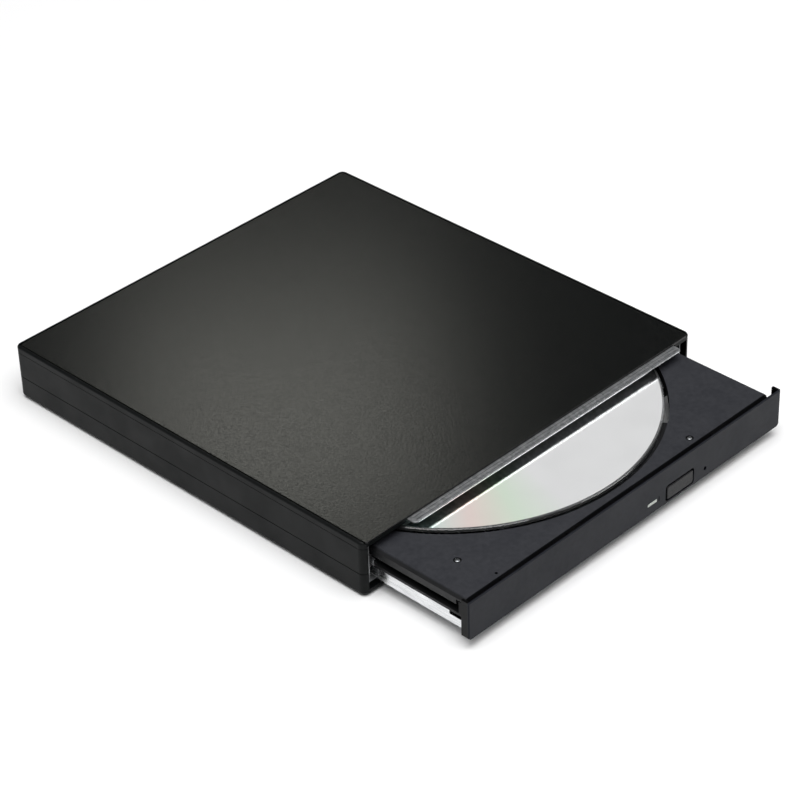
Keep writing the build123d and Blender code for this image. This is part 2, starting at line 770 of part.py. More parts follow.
def make_isolators():
    rings = []
    for x, y in isolator_places():
        ring = post(x, y, chassis_low + 2.3, chassis_low + 4.9, 2.4)
        ring += post(x, y, chassis_low + 2.3, chassis_low + 3.2, 3.4)
        ring += post(x, y, chassis_low + 4.0, chassis_low + 4.9, 3.4)
        ring -= post(x, y, chassis_low, chassis_top + overlap, 1.5)
        rings.append(on_traverse(ring))
    return Compound(rings)


def make_isolator_screws():
    screws = []
    for x, y in isolator_places():
        screw = post(x, y, chassis_low + 1.5, chassis_low + 2.3, 2.6)
        screw += post(x, y, chassis_low + 2.3, chassis_low + 4.9, 1.5)
        screw += post(x, y, chassis_low + 4.9, recess_low - 0.1, 0.8)
        screws.append(on_traverse(screw))
    return Compound(screws)


def make_spindle_stator():
    base = chassis_low + 0.8
    stator = post(0, 0, base, base + 0.5, 11.5)
    stator += post(0, 0, base, chassis_top - 1.2, 3.0)
    stator += post(0, 0, base, base + 3.4, 8.6)
    for n in range(9):
        tooth = block(8.0, 9.8, -1.6, 1.6, base + 1.1, base + 3.0)
        stator += Rot(0, 0, 40 * n) * tooth
    stator -= post(0, 0, base - overlap, chassis_top, shaft_radius + running_gap)
    return on_traverse(stator)


def make_guide_rods():
    rods = [on_traverse(bar_x(13.0, rod_end, side * rod_offset, rod_z, rod_radius)) for side in (-1, 1)]
    return Compound(rods)


def make_sled_motor():
    motor = bar_x(10.5, 20.5, screw_offset, rod_z, 3.0)
    motor += block(19.7, 20.5, screw_offset - 3.1, screw_offset + 3.1, rod_z - 2.4, rod_z + 2.6)
    motor -= bar_x(17.5, 20.5 + overlap, screw_offset, rod_z, 0.65)
    return on_traverse(motor)


def make_lead_screw():
    end = rod_end
    screw = bar_x(20.8, end - 7.1, screw_offset, rod_z, lead_radius)
    grooves = int((end - 7.1 - 20.8 - 2.0) / 1.5)
    for n in range(grooves):
        x = 22.3 + 1.5 * n
        ring = bar_x(x - 0.35, x + 0.35, screw_offset, rod_z, lead_radius + 0.5)
        ring -= bar_x(x - 1.0, x + 1.0, screw_offset, rod_z, lead_radius - 0.25)
        screw -= ring
    screw += bar_x(18.0, 20.8, screw_offset, rod_z, 0.6)
    screw += bar_x(end - 7.1, end - 5.5, screw_offset, rod_z, 0.8)
    return on_traverse(screw)


def make_spindle_rotor():
    rotor = post(0, 0, chassis_low + 1.8, chassis_top + 0.2, rotor_radius)
    rotor -= post(0, 0, chassis_low + 1.8 - overlap, chassis_top - 0.6, rotor_radius - 0.8)
    rotor += post(0, 0, chassis_low + 1.0, chassis_top - 0.3, shaft_radius)
    rotor += post(0, 0, chassis_top, pad_low - 0.9, 8.0)
    rotor += post(0, 0, pad_low - 0.9, pad_low, turntable_radius)
    return on_traverse(rotor)


def make_turntable_pad():
    return on_traverse(tube(0, 0, pad_low, disc_low, turntable_radius - 0.3, 9.5))


def ball_places():
    return [(6.65 * cos(radians(a)), 6.65 * sin(radians(a))) for a in (90, 210, 330)]


def make_spindle_hub():
    hub = post(0, 0, pad_low, disc_top + 0.35, disc_hole_radius - 0.15)
    hub = chamfer(hub.edges().group_by(Axis.Z)[-1], 0.3)
    hub -= post(0, 0, disc_top - 0.4, disc_top + overlap, 4.6)
    for x, y in ball_places():
        hub -= Pos(x, y, disc_top - 0.35) * Sphere(0.82)
    return on_traverse(hub)


def make_hub_balls():
    return Compound([on_traverse(Pos(x, y, disc_top - 0.35) * Sphere(0.8)) for x, y in ball_places()])


def make_disc():
    disc = tube(0, 0, disc_low, disc_top, disc_radius, disc_hole_radius)
    disc = chamfer(disc.edges().sort_by(SortBy.LENGTH)[-2:], 0.15)
    return on_traverse(disc)


def make_pickup_body():
    r = pickup_home
    body = block(r - pickup_half, r + pickup_half, -9.6, 9.6, pickup_low, pickup_top)
    for side in (-1, 1):
        low, high = sorted((side * 9.0, side * 14.0))
        body += block(r - 6.0, r + 6.0, low, high, rod_z - 1.9, rod_z + 1.9)
        body -= bar_x(r - 9.0, r + 9.0, side * rod_offset, rod_z, rod_radius + running_gap)
    body -= block(r - 5.0, r + 5.0, -4.6, 4.6, pickup_top - 2.2, pickup_top + overlap)
    body -= post(r, 0, pickup_low + 1.2, pickup_top, 2.0)
    return on_traverse(body)


def make_pickup_cover():
    r = pickup_home
    lid = block(r - 6.8, r + 6.8, -9.4, 9.4, pickup_top, pickup_top + 0.3)
    return on_traverse(lid - block(r - 4.6, r + 4.6, -4.4, 4.4, pickup_top - overlap, pickup_top + overlap))


def make_pickup_board():
    r = pickup_home
    return on_traverse(block(r - 6.0, r + 6.0, -8.0, 8.0, pickup_low - 0.3, pickup_low))


def make_drive_nut():
    r = pickup_home
    nut = block(r - 3.0, r + 1.0, 14.0, screw_offset + 1.9, rod_z - 1.6, rod_z + 1.7)
    return on_traverse(nut - bar_x(r - 4.0, r + 4.0, screw_offset, rod_z, lead_radius + running_gap))


def make_lens_holder():
    r = pickup_home
    holder = block(r - 3.4, r + 3.4, -3.4, 3.4, pickup_top - 1.2, pickup_top + 0.9)
    holder = fillet(holder.edges().filter_by(Axis.Z), 0.8)
    return on_traverse(holder - post(r, 0, pickup_top - 3.0, pickup_top + 3.0, lens_radius))


def make_objective_lens():
    r = pickup_home
    low = pickup_top + 0.3
    lens = post(r, 0, low, low + 0.8, lens_radius)
    return on_traverse(fillet(lens.edges().group_by(Axis.Z)[-1], 0.45))


parts = {
    "upper_shell": make_upper_shell(),
    "top_plate": make_top_plate(),
    "bottom_shell": make_bottom_shell(),
    "rubber_feet": make_rubber_feet(),
    "shell_screws": make_shell_screws(),
    "bridge_board": make_bridge_board(),
    "bridge_chips": make_bridge_chips(),
    "usb_socket": make_usb_socket(),
    "usb_tongue": make_usb_tongue(),
    "dc_socket": make_dc_socket(),
    "dc_pin": make_dc_pin(),
    "board_connector": make_board_connector(),
    "drive_bottom_case": make_drive_bottom_case(),
    "drive_top_cover": make_drive_top_cover(),
    "case_screws": make_case_screws(),
    "left_guide": make_guide(-1),
    "right_guide": make_guide(1),
    "rear_board": make_rear_board(),
    "rear_chips": make_rear_chips(),
    "drive_connector": make_drive_connector(),
    "fixed_ribbon": make_fixed_ribbon(),
    "latch_post": make_latch_post(),
    "left_rail": make_rail(-1),
    "right_rail": make_rail(1),
    "tray": make_tray(),
    "tray_screws": make_tray_screws(),
    "tray_bezel": make_tray_bezel(),
    "status_lens": make_status_lens(),
    "undertray": make_undertray(),
    "tray_board": make_tray_board(),
    "tray_chips": make_tray_chips(),
    "tray_ribbon": make_tray_ribbon(),
    "eject_switch": make_eject_switch(),
    "status_led": make_status_led(),
    "eject_button": make_eject_button(),
    "solenoid_frame": make_solenoid(),
    "solenoid_coil": make_solenoid_coil(),
    "latch_pin": make_latch_pin(),
    "latch_spring": make_latch_spring(),
    "latch_lever": make_latch_lever(),
    "traverse_frame": make_traverse_frame(),
    "isolators": make_isolators(),
    "isolator_screws": make_isolator_screws(),
    "spindle_stator": make_spindle_stator(),
    "guide_rods": make_guide_rods(),
    "sled_motor": make_sled_motor(),
    "lead_screw": make_lead_screw(),
    "spindle_rotor": make_spindle_rotor(),
    "turntable_pad": make_turntable_pad(),
    "spindle_hub": make_spindle_hub(),
    "hub_balls": make_hub_balls(),
    "disc": make_disc(),
    "pickup_body": make_pickup_body(),
    "pickup_cover": make_pickup_cover(),
    "pickup_board": make_pickup_board(),
    "drive_nut": make_drive_nut(),
    "lens_holder": make_lens_holder(),
    "objective_lens": make_objective_lens(),
}

os.makedirs("parts", exist_ok=True)
for name, solid in parts.items():
    export_step(solid, f"parts/{name}.step")
    print(name, round(solid.volume, 1))
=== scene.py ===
from math import cos, pi, radians, sin

import bmesh
import bpy
from mathutils import Matrix, Vector


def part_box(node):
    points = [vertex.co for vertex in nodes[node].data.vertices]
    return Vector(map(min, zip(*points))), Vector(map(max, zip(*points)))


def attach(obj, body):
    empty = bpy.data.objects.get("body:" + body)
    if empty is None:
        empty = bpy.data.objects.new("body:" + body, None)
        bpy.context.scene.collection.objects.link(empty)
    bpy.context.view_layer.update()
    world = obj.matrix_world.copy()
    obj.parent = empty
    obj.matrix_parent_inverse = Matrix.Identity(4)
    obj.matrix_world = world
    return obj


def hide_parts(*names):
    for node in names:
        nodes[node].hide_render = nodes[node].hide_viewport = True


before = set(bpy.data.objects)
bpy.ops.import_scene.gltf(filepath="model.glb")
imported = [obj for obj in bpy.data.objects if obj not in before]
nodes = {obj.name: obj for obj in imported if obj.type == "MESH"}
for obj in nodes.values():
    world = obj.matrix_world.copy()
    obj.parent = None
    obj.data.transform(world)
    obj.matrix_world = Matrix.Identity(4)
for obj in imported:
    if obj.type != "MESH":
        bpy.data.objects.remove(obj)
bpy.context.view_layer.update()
mm = 0.001

print("frame loaded:", len(nodes), "CAD nodes")

# angles in degrees, distance and target in metres, lens in millimetres
cameraLook = {
    "azimuth": -44.87,
    "elevation": 34.69,
    "roll": -1.94,
    "distance": 0.7899,
    "target": (-0.00495, -0.0239, 0.010),
    "lens": 125.4,
    "near": 0.02,
    "far": 50,
}


def addCamera():
    turn, rise = radians(cameraLook["azimuth"]), radians(cameraLook["elevation"])
    back = Vector((sin(turn) * cos(rise), -cos(turn) * cos(rise), sin(rise)))
    data = bpy.data.cameras.new("camera")
    data.lens = cameraLook["lens"]
    data.clip_start = cameraLook["near"]
    data.clip_end = cameraLook["far"]
    camera = bpy.data.objects.new("camera", data)
    bpy.context.scene.collection.objects.link(camera)
    facing = back.to_track_quat("Z", "Y").to_matrix().to_4x4()
    roll = Matrix.Rotation(radians(cameraLook["roll"]), 4, "Z")
    place = Matrix.Translation(Vector(cameraLook["target"]) + back * cameraLook["distance"])
    camera.matrix_world = place @ facing @ roll
    bpy.context.scene.camera = camera


# turn and rise in degrees about the origin, away and size in metres; only names a group of pieces
softBoxes = {
    "overhead": {"turns": (230,), "rise": 72, "away": 1.5, "size": (1.5, 1.5), "watts": 27, "only": None},
    "frontFill": {"turns": (-45,), "rise": 36, "away": 1.7, "size": (0.9, 0.7), "watts": 5, "only": None},
    "plateGlow": {"turns": (49.2,), "rise": 36.6, "away": 1.6, "size": (0.26, 0.15), "watts": 0.52,
                  "only": "plateLit"},
    "plateSides": {"turns": (139, 229, -41), "rise": 33, "away": 1.6, "size": (0.5, 0.3), "watts": 0.9,
                   "only": "plateLit"},
    "hemCard": {"turns": (-52,), "rise": 26, "away": 1.5, "size": (1.8, 1.8), "watts": 22, "only": "hemLit"},
    "discCard": {"turns": (38, 128, 218, 308), "rise": 36, "away": 1.6, "size": (1.0, 0.55), "watts": 1.25,
                 "only": "discLit"},
}
glowTint = (1.0, 1.0, 0.91)
litPieces = {"plateLit": ["topPlate", "upper_shell"], "discLit": ["discMirror", "discClear"],
             "hemLit": ["coverHem"]}
# sine of the height above the horizon, and the light there
skyBands = [(0.0, 0.6), (0.08, 0.5), (0.22, 0.05), (0.74, 0.05), (0.9, 0.9), (1.0, 1.1)]


def addLights():
    groups = {name: bpy.data.collections.new(name) for name in litPieces}
    for name, box in softBoxes.items():
        for place in box["turns"]:
            data = bpy.data.lights.new(name, "AREA")
            data.shape = "RECTANGLE"
            data.size, data.size_y = box["size"]
            data.energy = box["watts"]
            light = bpy.data.objects.new(name, data)
            bpy.context.scene.collection.objects.link(light)
            turn, rise = radians(place), radians(box["rise"])
            outward = Vector((cos(rise) * cos(turn), cos(rise) * sin(turn), sin(rise)))
            facing = outward.to_track_quat("Z", "Y").to_matrix().to_4x4()
            light.matrix_world = Matrix.Translation(outward * box["away"]) @ facing
            if box["only"]:
                light.light_linking.receiver_collection = groups[box["only"]]
            if box["only"] == "plateLit":
                data.color = glowTint
    world = bpy.data.worlds.new("studio")
    world.use_nodes = True
    tree = world.node_tree
    where = tree.nodes.new("ShaderNodeTexCoord")
    split = tree.nodes.new("ShaderNodeSeparateXYZ")
    ramp = tree.nodes.new("ShaderNodeValToRGB")
    while len(ramp.color_ramp.elements) < len(skyBands):
        ramp.color_ramp.elements.new(0.5)
    for element, (height, light) in zip(ramp.color_ramp.elements, skyBands):
        element.position = height
        element.color = (light, light, light, 1)
    tree.links.new(where.outputs["Generated"], split.inputs["Vector"])
    tree.links.new(split.outputs["Z"], ramp.inputs["Fac"])
    tree.links.new(ramp.outputs["Color"], tree.nodes["Background"].inputs["Color"])
    bpy.context.scene.world = world
    bpy.context.scene.view_settings.view_transform = "Standard"
    return groups


def startMaterial(name, colour, roughness, metallic=0.0, **sockets):
    material = bpy.data.materials.new(name)
    material.use_nodes = True
    shader = material.node_tree.nodes["Principled BSDF"]
    shader.inputs["Base Color"].default_value = (*colour, 1)
    shader.inputs["Roughness"].default_value = roughness
    shader.inputs["Metallic"].default_value = metallic
    for socket, value in sockets.items():
        shader.inputs[socket.replace("_", " ")].default_value = value
    material.diffuse_color = (*colour, 1)
    return material


def addNode(material, kind, **values):
    made = material.node_tree.nodes.new(kind)
    for name, value in values.items():
        if name in made.inputs:
            made.inputs[name].default_value = value
        else:
            setattr(made, name, value)
    return made


def join(material, source, target):
    material.node_tree.links.new(source, target)


def shaderOf(material):
    return material.node_tree.nodes["Principled BSDF"]


def placeOn(material, centre=(0, 0, 0), stretch=(1, 1, 1)):
    spot = addNode(material, "ShaderNodeTexCoord")
    mapping = addNode(material, "ShaderNodeMapping", vector_type="TEXTURE")
    mapping.inputs["Location"].default_value = centre
    mapping.inputs["Scale"].default_value = stretch
    join(material, spot.outputs["Object"], mapping.inputs["Vector"])
    return mapping.outputs["Vector"]


def noiseOf(material, size, detail=3.0, where=None):
    noise = addNode(material, "ShaderNodeTexNoise", Scale=1 / size, Detail=detail)
    join(material, where or placeOn(material), noise.inputs["Vector"])
    return noise.outputs["Fac"]


def rangeOf(material, source, low, high, fromLow=0.35, fromHigh=0.65):
    spread = addNode(material, "ShaderNodeMapRange")
    for name, value in (("From Min", fromLow), ("From Max", fromHigh), ("To Min", low), ("To Max", high)):
        spread.inputs[name].default_value = value
    join(material, source, spread.inputs["Value"])
    return spread.outputs["Result"]


def rampOf(material, source, stops):
    ramp = addNode(material, "ShaderNodeValToRGB")
    line = ramp.color_ramp
    while len(line.elements) < len(stops):
        line.elements.new(0.5)
    for element, (place, colour) in zip(line.elements, stops):
        element.position = place
        element.color = (*colour, 1)
    join(material, source, ramp.inputs["Fac"])
    return ramp.outputs["Color"]


def mottle(material, dark, light, size, detail=3.0, where=None):
    noise = noiseOf(material, size, detail, where)
    colour = rampOf(material, noise, [(0.32, dark), (0.68, light)])
    join(material, colour, shaderOf(material).inputs["Base Color"])
    return colour


def glossRange(material, low, high, size, where=None):
    noise = noiseOf(material, size, 2.0, where)
    join(material, rangeOf(material, noise, low, high), shaderOf(material).inputs["Roughness"])


def grain(material, source, height, strength=1.0):
    bump = addNode(material, "ShaderNodeBump", Strength=strength, Distance=height)
    join(material, source, bump.inputs["Height"])
    normal = shaderOf(material).inputs["Normal"]
    if normal.is_linked:
        join(material, normal.links[0].from_socket, bump.inputs["Normal"])
    join(material, bump.outputs["Normal"], normal)


# the colour falls to a painted shade between two places along an axis, standing in for the shade in holes
# and recesses
def paintRecessShade(material, axis, shadeStart, shadeFull, dark):
    spot = addNode(material, "ShaderNodeTexCoord")
    split = addNode(material, "ShaderNodeSeparateXYZ")
    join(material, spot.outputs["Object"], split.inputs["Vector"])
    shadeAmount = rangeOf(material, split.outputs[axis], 0.0, 1.0, shadeStart, shadeFull)
    # painted shade: the colour is blended towards the dark shade tone by this amount
    blend = addNode(material, "ShaderNodeMix", data_type="RGBA")
    colour = shaderOf(material).inputs["Base Color"]
    join(material, shadeAmount, blend.inputs[0])
    join(material, colour.links[0].from_socket, blend.inputs[6])
    blend.inputs[7].default_value = (*dark, 1)
    join(material, blend.outputs[2], colour)


# each finish: colour, roughness, metal, other shader inputs, the two tones that mottle it with the
# noise's size and detail, the range and size of its gloss, and its grain's size, detail, height, strength
plainFinishes = {
    "shellPlastic": {
        "base": ((0.0022, 0.0028, 0.0029), 0.4, 0.0), "inputs": {"Specular_IOR_Level": 0.12},
        "tones": ((0.0017, 0.0023, 0.0024), (0.0028, 0.0035, 0.0036), 6 * mm, 3.0),
        "gloss": (0.36, 0.48, 9 * mm), "grain": (0.28 * mm, 2.0, 0.012 * mm, 0.6)},
    "platePaint": {
        "base": ((0.0022, 0.0026, 0.0027), 0.19, 0.0), "inputs": {"Specular_IOR_Level": 0.3},
        "tones": ((0.0003, 0.0006, 0.0006), (0.0075, 0.008, 0.0078), 0.5 * mm, 3.0),
        "gloss": (0.155, 0.225, 0.6 * mm), "grain": (0.6 * mm, 3.0, 0.03 * mm, 1.0)},
    "trayPlastic": {
        "base": ((0.0195, 0.0205, 0.025), 0.52, 0.0), "inputs": {"Specular_IOR_Level": 0.36},
        "tones": ((0.016, 0.017, 0.021), (0.023, 0.024, 0.029), 1.4 * mm, 4.0),
        "gloss": (0.47, 0.58, 5 * mm), "grain": (0.22 * mm, 2.0, 0.012 * mm, 0.6)},
    "bezelPlastic": {
        "base": ((0.0056, 0.0066, 0.0102), 0.34, 0.0), "inputs": {"Specular_IOR_Level": 0.13},
        "tones": ((0.0042, 0.005, 0.008), (0.0074, 0.0086, 0.0128), 1.6 * mm, 4.0),
        "gloss": (0.28, 0.4, 6 * mm), "grain": (0.2 * mm, 2.0, 0.008 * mm, 0.5)},
    "buttonPlastic": {
        "base": ((0.0042, 0.0043, 0.0052), 0.26, 0.0), "inputs": {"Specular_IOR_Level": 0.22},
        "tones": ((0.0034, 0.0035, 0.0043), (0.0052, 0.0054, 0.0064), 2 * mm, 3.0),
        "gloss": (0.22, 0.3, 3 * mm)},
    "blackRubber": {
        "base": ((0.02, 0.02, 0.02), 0.8, 0.0),
        "tones": ((0.016, 0.016, 0.016), (0.027, 0.027, 0.028), 1.5 * mm, 3.0),
        "gloss": (0.7, 0.88, 1.2 * mm), "grain": (0.3 * mm, 3.0, 0.03 * mm, 0.8)},
    "mouldedBlack": {
        "base": ((0.015, 0.015, 0.016), 0.5, 0.0),
        "tones": ((0.011, 0.011, 0.012), (0.02, 0.02, 0.021), 2 * mm, 3.0),
        "gloss": (0.42, 0.58, 2 * mm), "grain": (0.15 * mm, 3.0, 0.01 * mm, 0.5)},
    "hubPlastic": {
        "base": ((0.02, 0.02, 0.021), 0.34, 0.0),
        "tones": ((0.016, 0.016, 0.017), (0.025, 0.025, 0.026), 1.5 * mm, 3.0),
        "gloss": (0.28, 0.4, 2 * mm)},
    "castMetal": {
        "base": ((0.42, 0.43, 0.45), 0.5, 1.0),
        "tones": ((0.34, 0.35, 0.37), (0.5, 0.51, 0.53), 1.2 * mm, 3.0),
        "gloss": (0.42, 0.6, 1.0 * mm), "grain": (0.3 * mm, 3.0, 0.02 * mm, 0.6)},
    "chipEpoxy": {
        "base": ((0.02, 0.02, 0.021), 0.6, 0.0),
        "tones": ((0.016, 0.016, 0.017), (0.028, 0.028, 0.029), 0.4 * mm, 3.0),
        "gloss": (0.5, 0.7, 0.5 * mm)},
    "milkyLens": {
        "base": ((0.62, 0.66, 0.6), 0.22, 0.0), "inputs": {"Transmission_Weight": 0.35, "IOR": 1.49},
        "tones": ((0.56, 0.6, 0.55), (0.68, 0.72, 0.66), 0.6 * mm, 3.0),
        "gloss": (0.18, 0.28, 0.8 * mm)},
    "ledBody": {
        "base": ((0.8, 0.8, 0.74), 0.3, 0.0),
        "tones": ((0.72, 0.72, 0.64), (0.86, 0.86, 0.8), 0.6 * mm, 3.0)},
    "coatedGlass": {
        "base": ((0.55, 0.6, 0.9), 0.04, 0.0), "inputs": {"Transmission_Weight": 0.7, "IOR": 1.52},
        "gloss": (0.02, 0.07, 0.8 * mm)},
    "goldPlate": {
        "base": ((0.85, 0.62, 0.28), 0.25, 1.0),
        "tones": ((0.78, 0.55, 0.22), (0.9, 0.68, 0.34), 0.3 * mm, 3.0)},
    "clearDisc": {
        "base": ((0.94, 0.96, 0.97), 0.05, 0.0), "inputs": {"Transmission_Weight": 0.96, "IOR": 1.58},
        "gloss": (0.03, 0.08, 6 * mm)},
    "floorPaper": {
        "base": ((0.86, 0.86, 0.86), 0.75, 0.0),
        "tones": ((0.855, 0.855, 0.86), (0.87, 0.87, 0.87), 80 * mm, 3.0)},
}


def plainFinish(name):
    look = plainFinishes[name]
    skin = startMaterial(name, *look["base"], **look.get("inputs", {}))
    if "tones" in look:
        mottle(skin, *look["tones"])
    if "gloss" in look:
        glossRange(skin, *look["gloss"])
    if "grain" in look:
        size, detail, height, strength = look["grain"]
        grain(skin, noiseOf(skin, size, detail), height, strength)
    return skin


# where each recess's painted shade starts and where it is full, in from the node's outer face, and the
# shade's tone
paintedRecessShade = {
    "trayPlastic": ("tray", "Z", 0.12 * mm, 0.4 * mm, (0.004, 0.0042, 0.005)),
    "bezelPlastic": ("tray_bezel", "Y", 0.35 * mm, 0.6 * mm, (0.0012, 0.0012, 0.0014)),
    "buttonPlastic": ("eject_button", "Y", 0.3 * mm, 0.5 * mm, (0.001, 0.001, 0.0012)),
}


def shadedRecessFinish(name):
    # adds painted shade to the finish, darker deeper into the recess
    node, axis, shadeStart, shadeFull, dark = paintedRecessShade[name]
    skin = plainFinish(name)
    low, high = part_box(node)
    if axis == "Z":
        paintRecessShade(skin, axis, high.z - shadeStart, high.z - shadeFull, dark)
    else:
        paintRecessShade(skin, axis, low.y + shadeStart, low.y + shadeFull, dark)
    return skin


def galvanised():
    skin = startMaterial("galvanised", (0.25, 0.257, 0.262), 0.48, 0.8)
    cells = addNode(skin, "ShaderNodeTexVoronoi", Scale=1 / (0.9 * mm))
    join(skin, placeOn(skin), cells.inputs["Vector"])
    tone = rampOf(skin, cells.outputs["Color"], [
        (0.15, (0.2, 0.207, 0.212)), (0.5, (0.25, 0.257, 0.262)), (0.9, (0.32, 0.327, 0.333))])
    join(skin, tone, shaderOf(skin).inputs["Base Color"])
    gloss = rangeOf(skin, cells.outputs["Distance"], 0.4, 0.56, 0.0, 0.8)
    join(skin, gloss, shaderOf(skin).inputs["Roughness"])
    grain(skin, noiseOf(skin, 0.5 * mm), 0.01 * mm, 0.4)
    return skin


def rolledSteel(name, dark, light, low, high):
    skin = startMaterial(name, light, (low + high) / 2, 1.0)
    streak = placeOn(skin, stretch=(1, 12, 1))
    mottle(skin, dark, light, 0.5 * mm, 4.0, streak)
    glossRange(skin, low, high, 0.7 * mm, streak)
    return skin


def greenBoard():
    skin = startMaterial("greenBoard", (0.01, 0.09, 0.045), 0.32)
    tracks = addNode(skin, "ShaderNodeTexBrick", Scale=1 / (6 * mm))
    for name, colour in (("Color1", (0.008, 0.085, 0.04, 1)), ("Color2", (0.012, 0.11, 0.05, 1)),
                         ("Mortar", (0.03, 0.19, 0.085, 1))):
        tracks.inputs[name].default_value = colour
    tracks.inputs["Mortar Size"].default_value = 0.035
    join(skin, placeOn(skin), tracks.inputs["Vector"])
    join(skin, tracks.outputs["Color"], shaderOf(skin).inputs["Base Color"])
    glossRange(skin, 0.25, 0.4, 3 * mm)
    grain(skin, tracks.outputs["Fac"], 0.02 * mm, 0.7)
    return skin


def copperWire():
    skin = startMaterial("copperWire", (0.62, 0.26, 0.1), 0.3, 1.0)
    turns = addNode(skin, "ShaderNodeTexWave", Scale=1 / (1.2 * mm), bands_direction="X")
    join(skin, placeOn(skin), turns.inputs["Vector"])
    tone = rampOf(skin, turns.outputs["Fac"], [(0.1, (0.22, 0.075, 0.03)), (0.7, (0.72, 0.32, 0.13))])
    join(skin, tone, shaderOf(skin).inputs["Base Color"])
    grain(skin, turns.outputs["Fac"], 0.08 * mm, 0.9)
    return skin


def flatRibbon():
    skin = startMaterial("flatRibbon", (0.75, 0.72, 0.66), 0.35)
    lanes = addNode(skin, "ShaderNodeTexWave", Scale=1 / (3.2 * mm), bands_direction="X")
    join(skin, placeOn(skin), lanes.inputs["Vector"])
    tone = rampOf(skin, lanes.outputs["Fac"], [(0.3, (0.78, 0.76, 0.7)), (0.62, (0.5, 0.36, 0.2))])
    join(skin, tone, shaderOf(skin).inputs["Base Color"])
    return skin


def discMetal():
    low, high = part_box("disc")
    centre = (low + high) / 2
    skin = startMaterial("discMetal", (0.9, 0.9, 0.9), 0.12, 1.0, Anisotropic=0.6)
    where = placeOn(skin, centre=centre)
    angle = addNode(skin, "ShaderNodeTexGradient", gradient_type="RADIAL")
    join(skin, where, angle.inputs["Vector"])
    silver = (0.9, 0.905, 0.91)
    # painted diffraction sheen: faint rainbow bands painted into the metal's colour by angle round the disc
    # centre
    paintedSheenBands = rampOf(skin, angle.outputs["Fac"], [
        (0.00, silver), (0.06, (0.86, 0.9, 0.92)), (0.10, (0.72, 0.9, 0.86)), (0.135, (0.92, 0.78, 0.74)),
        (0.17, (0.78, 0.9, 0.76)), (0.21, silver), (0.40, silver), (0.45, (0.84, 0.86, 0.94)),
        (0.50, silver), (0.62, (0.94, 0.88, 0.86)), (0.68, silver), (1.0, silver)])
    join(skin, paintedSheenBands, shaderOf(skin).inputs["Base Color"])
    glossRange(skin, 0.09, 0.15, 12 * mm)
    return skin


finish = {
    "shell": plainFinish("shellPlastic"),
    "plate": plainFinish("platePaint"),
    # tray, bezel and button carry painted shade in their recesses and hole walls
    "tray": shadedRecessFinish("trayPlastic"),
    "bezel": shadedRecessFinish("bezelPlastic"),
    "button": shadedRecessFinish("buttonPlastic"),
    "galvanised": galvanised(),
    "steel": rolledSteel("brightSteel", (0.62, 0.63, 0.64), (0.86, 0.87, 0.88), 0.16, 0.3),
    "screw": rolledSteel("screwSteel", (0.5, 0.51, 0.52), (0.8, 0.81, 0.82), 0.2, 0.34),
    "pip": rolledSteel("pipSteel", (0.22, 0.23, 0.24), (0.34, 0.35, 0.36), 0.3, 0.42),
    "blackScrew": rolledSteel("blackScrewSteel", (0.03, 0.03, 0.032), (0.07, 0.07, 0.074), 0.3, 0.45),
    "nickel": rolledSteel("nickelPlate", (0.55, 0.54, 0.51), (0.78, 0.77, 0.73), 0.14, 0.26),
    "rubber": plainFinish("blackRubber"),
    "moulded": plainFinish("mouldedBlack"),
    "hub": plainFinish("hubPlastic"),
    "cast": plainFinish("castMetal"),
    "board": greenBoard(),
    "chip": plainFinish("chipEpoxy"),
    "copper": copperWire(),
    "ribbon": flatRibbon(),
    "lens": plainFinish("milkyLens"),
    "led": plainFinish("ledBody"),
    "glass": plainFinish("coatedGlass"),
    "gold": plainFinish("goldPlate"),
    "clear": plainFinish("clearDisc"),
    "mirror": discMetal(),
}
print("finishes made:", len(finish))

nodeFinish = {
    "shell": ["upper_shell", "bottom_shell"],
    "plate": ["top_plate"],
    "tray": ["tray"],
    "bezel": ["tray_bezel"],
    "button": ["eject_button"],
    "galvanised": ["drive_bottom_case", "drive_top_cover"],
    "steel": ["left_rail", "right_rail", "undertray", "solenoid_frame", "pickup_cover"],
    "screw": ["case_screws", "tray_screws", "latch_pin", "latch_spring", "latch_post", "isolator_screws",
              "guide_rods", "lead_screw", "hub_balls"],
    "blackScrew": ["shell_screws"],
    "nickel": ["usb_socket", "dc_pin", "sled_motor", "spindle_rotor"],
    "rubber": ["rubber_feet", "isolators", "turntable_pad"],
    "moulded": ["usb_tongue", "dc_socket", "board_connector", "drive_connector", "left_guide", "right_guide",
                "eject_switch", "latch_lever", "drive_nut", "lens_holder"],
    "hub": ["spindle_hub"],
    "cast": ["traverse_frame", "pickup_body"],
    "board": ["bridge_board", "rear_board", "tray_board", "pickup_board"],
    "chip": ["bridge_chips", "rear_chips", "tray_chips"],
    "copper": ["solenoid_coil", "spindle_stator"],
    "ribbon": ["fixed_ribbon", "tray_ribbon"],
    "lens": ["status_lens"],
    "led": ["status_led"],
    "glass": ["objective_lens"],
    "mirror": ["disc"],
}


def dressNodes():
    for key, names in nodeFinish.items():
        for name in names:
            for place in nodes[name].material_slots:
                place.material = finish[key]


def makePiece(name, bm, key, body, replaces=(), smoothAngle=35.0, weighted=True):
    mesh = bpy.data.meshes.new(name)
    for face in bm.faces:
        face.smooth = True
    bm.to_mesh(mesh)
    bm.free()
    mesh.set_sharp_from_angle(angle=radians(smoothAngle))
    mesh.materials.append(finish[key])
    piece = bpy.data.objects.new(name, mesh)
    bpy.context.scene.collection.objects.link(piece)
    if weighted:
        even = piece.modifiers.new("weightedNormals", "WEIGHTED_NORMAL")
        even.keep_sharp = True
    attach(piece, body)
    if replaces:
        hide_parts(*replaces)
    return piece


def bevelEdges(bm, edges, width, segments):
    bmesh.ops.bevel(bm, geom=edges, offset=width, offset_type="OFFSET", segments=segments, profile=0.5,
                    affect="EDGES", material=-1)


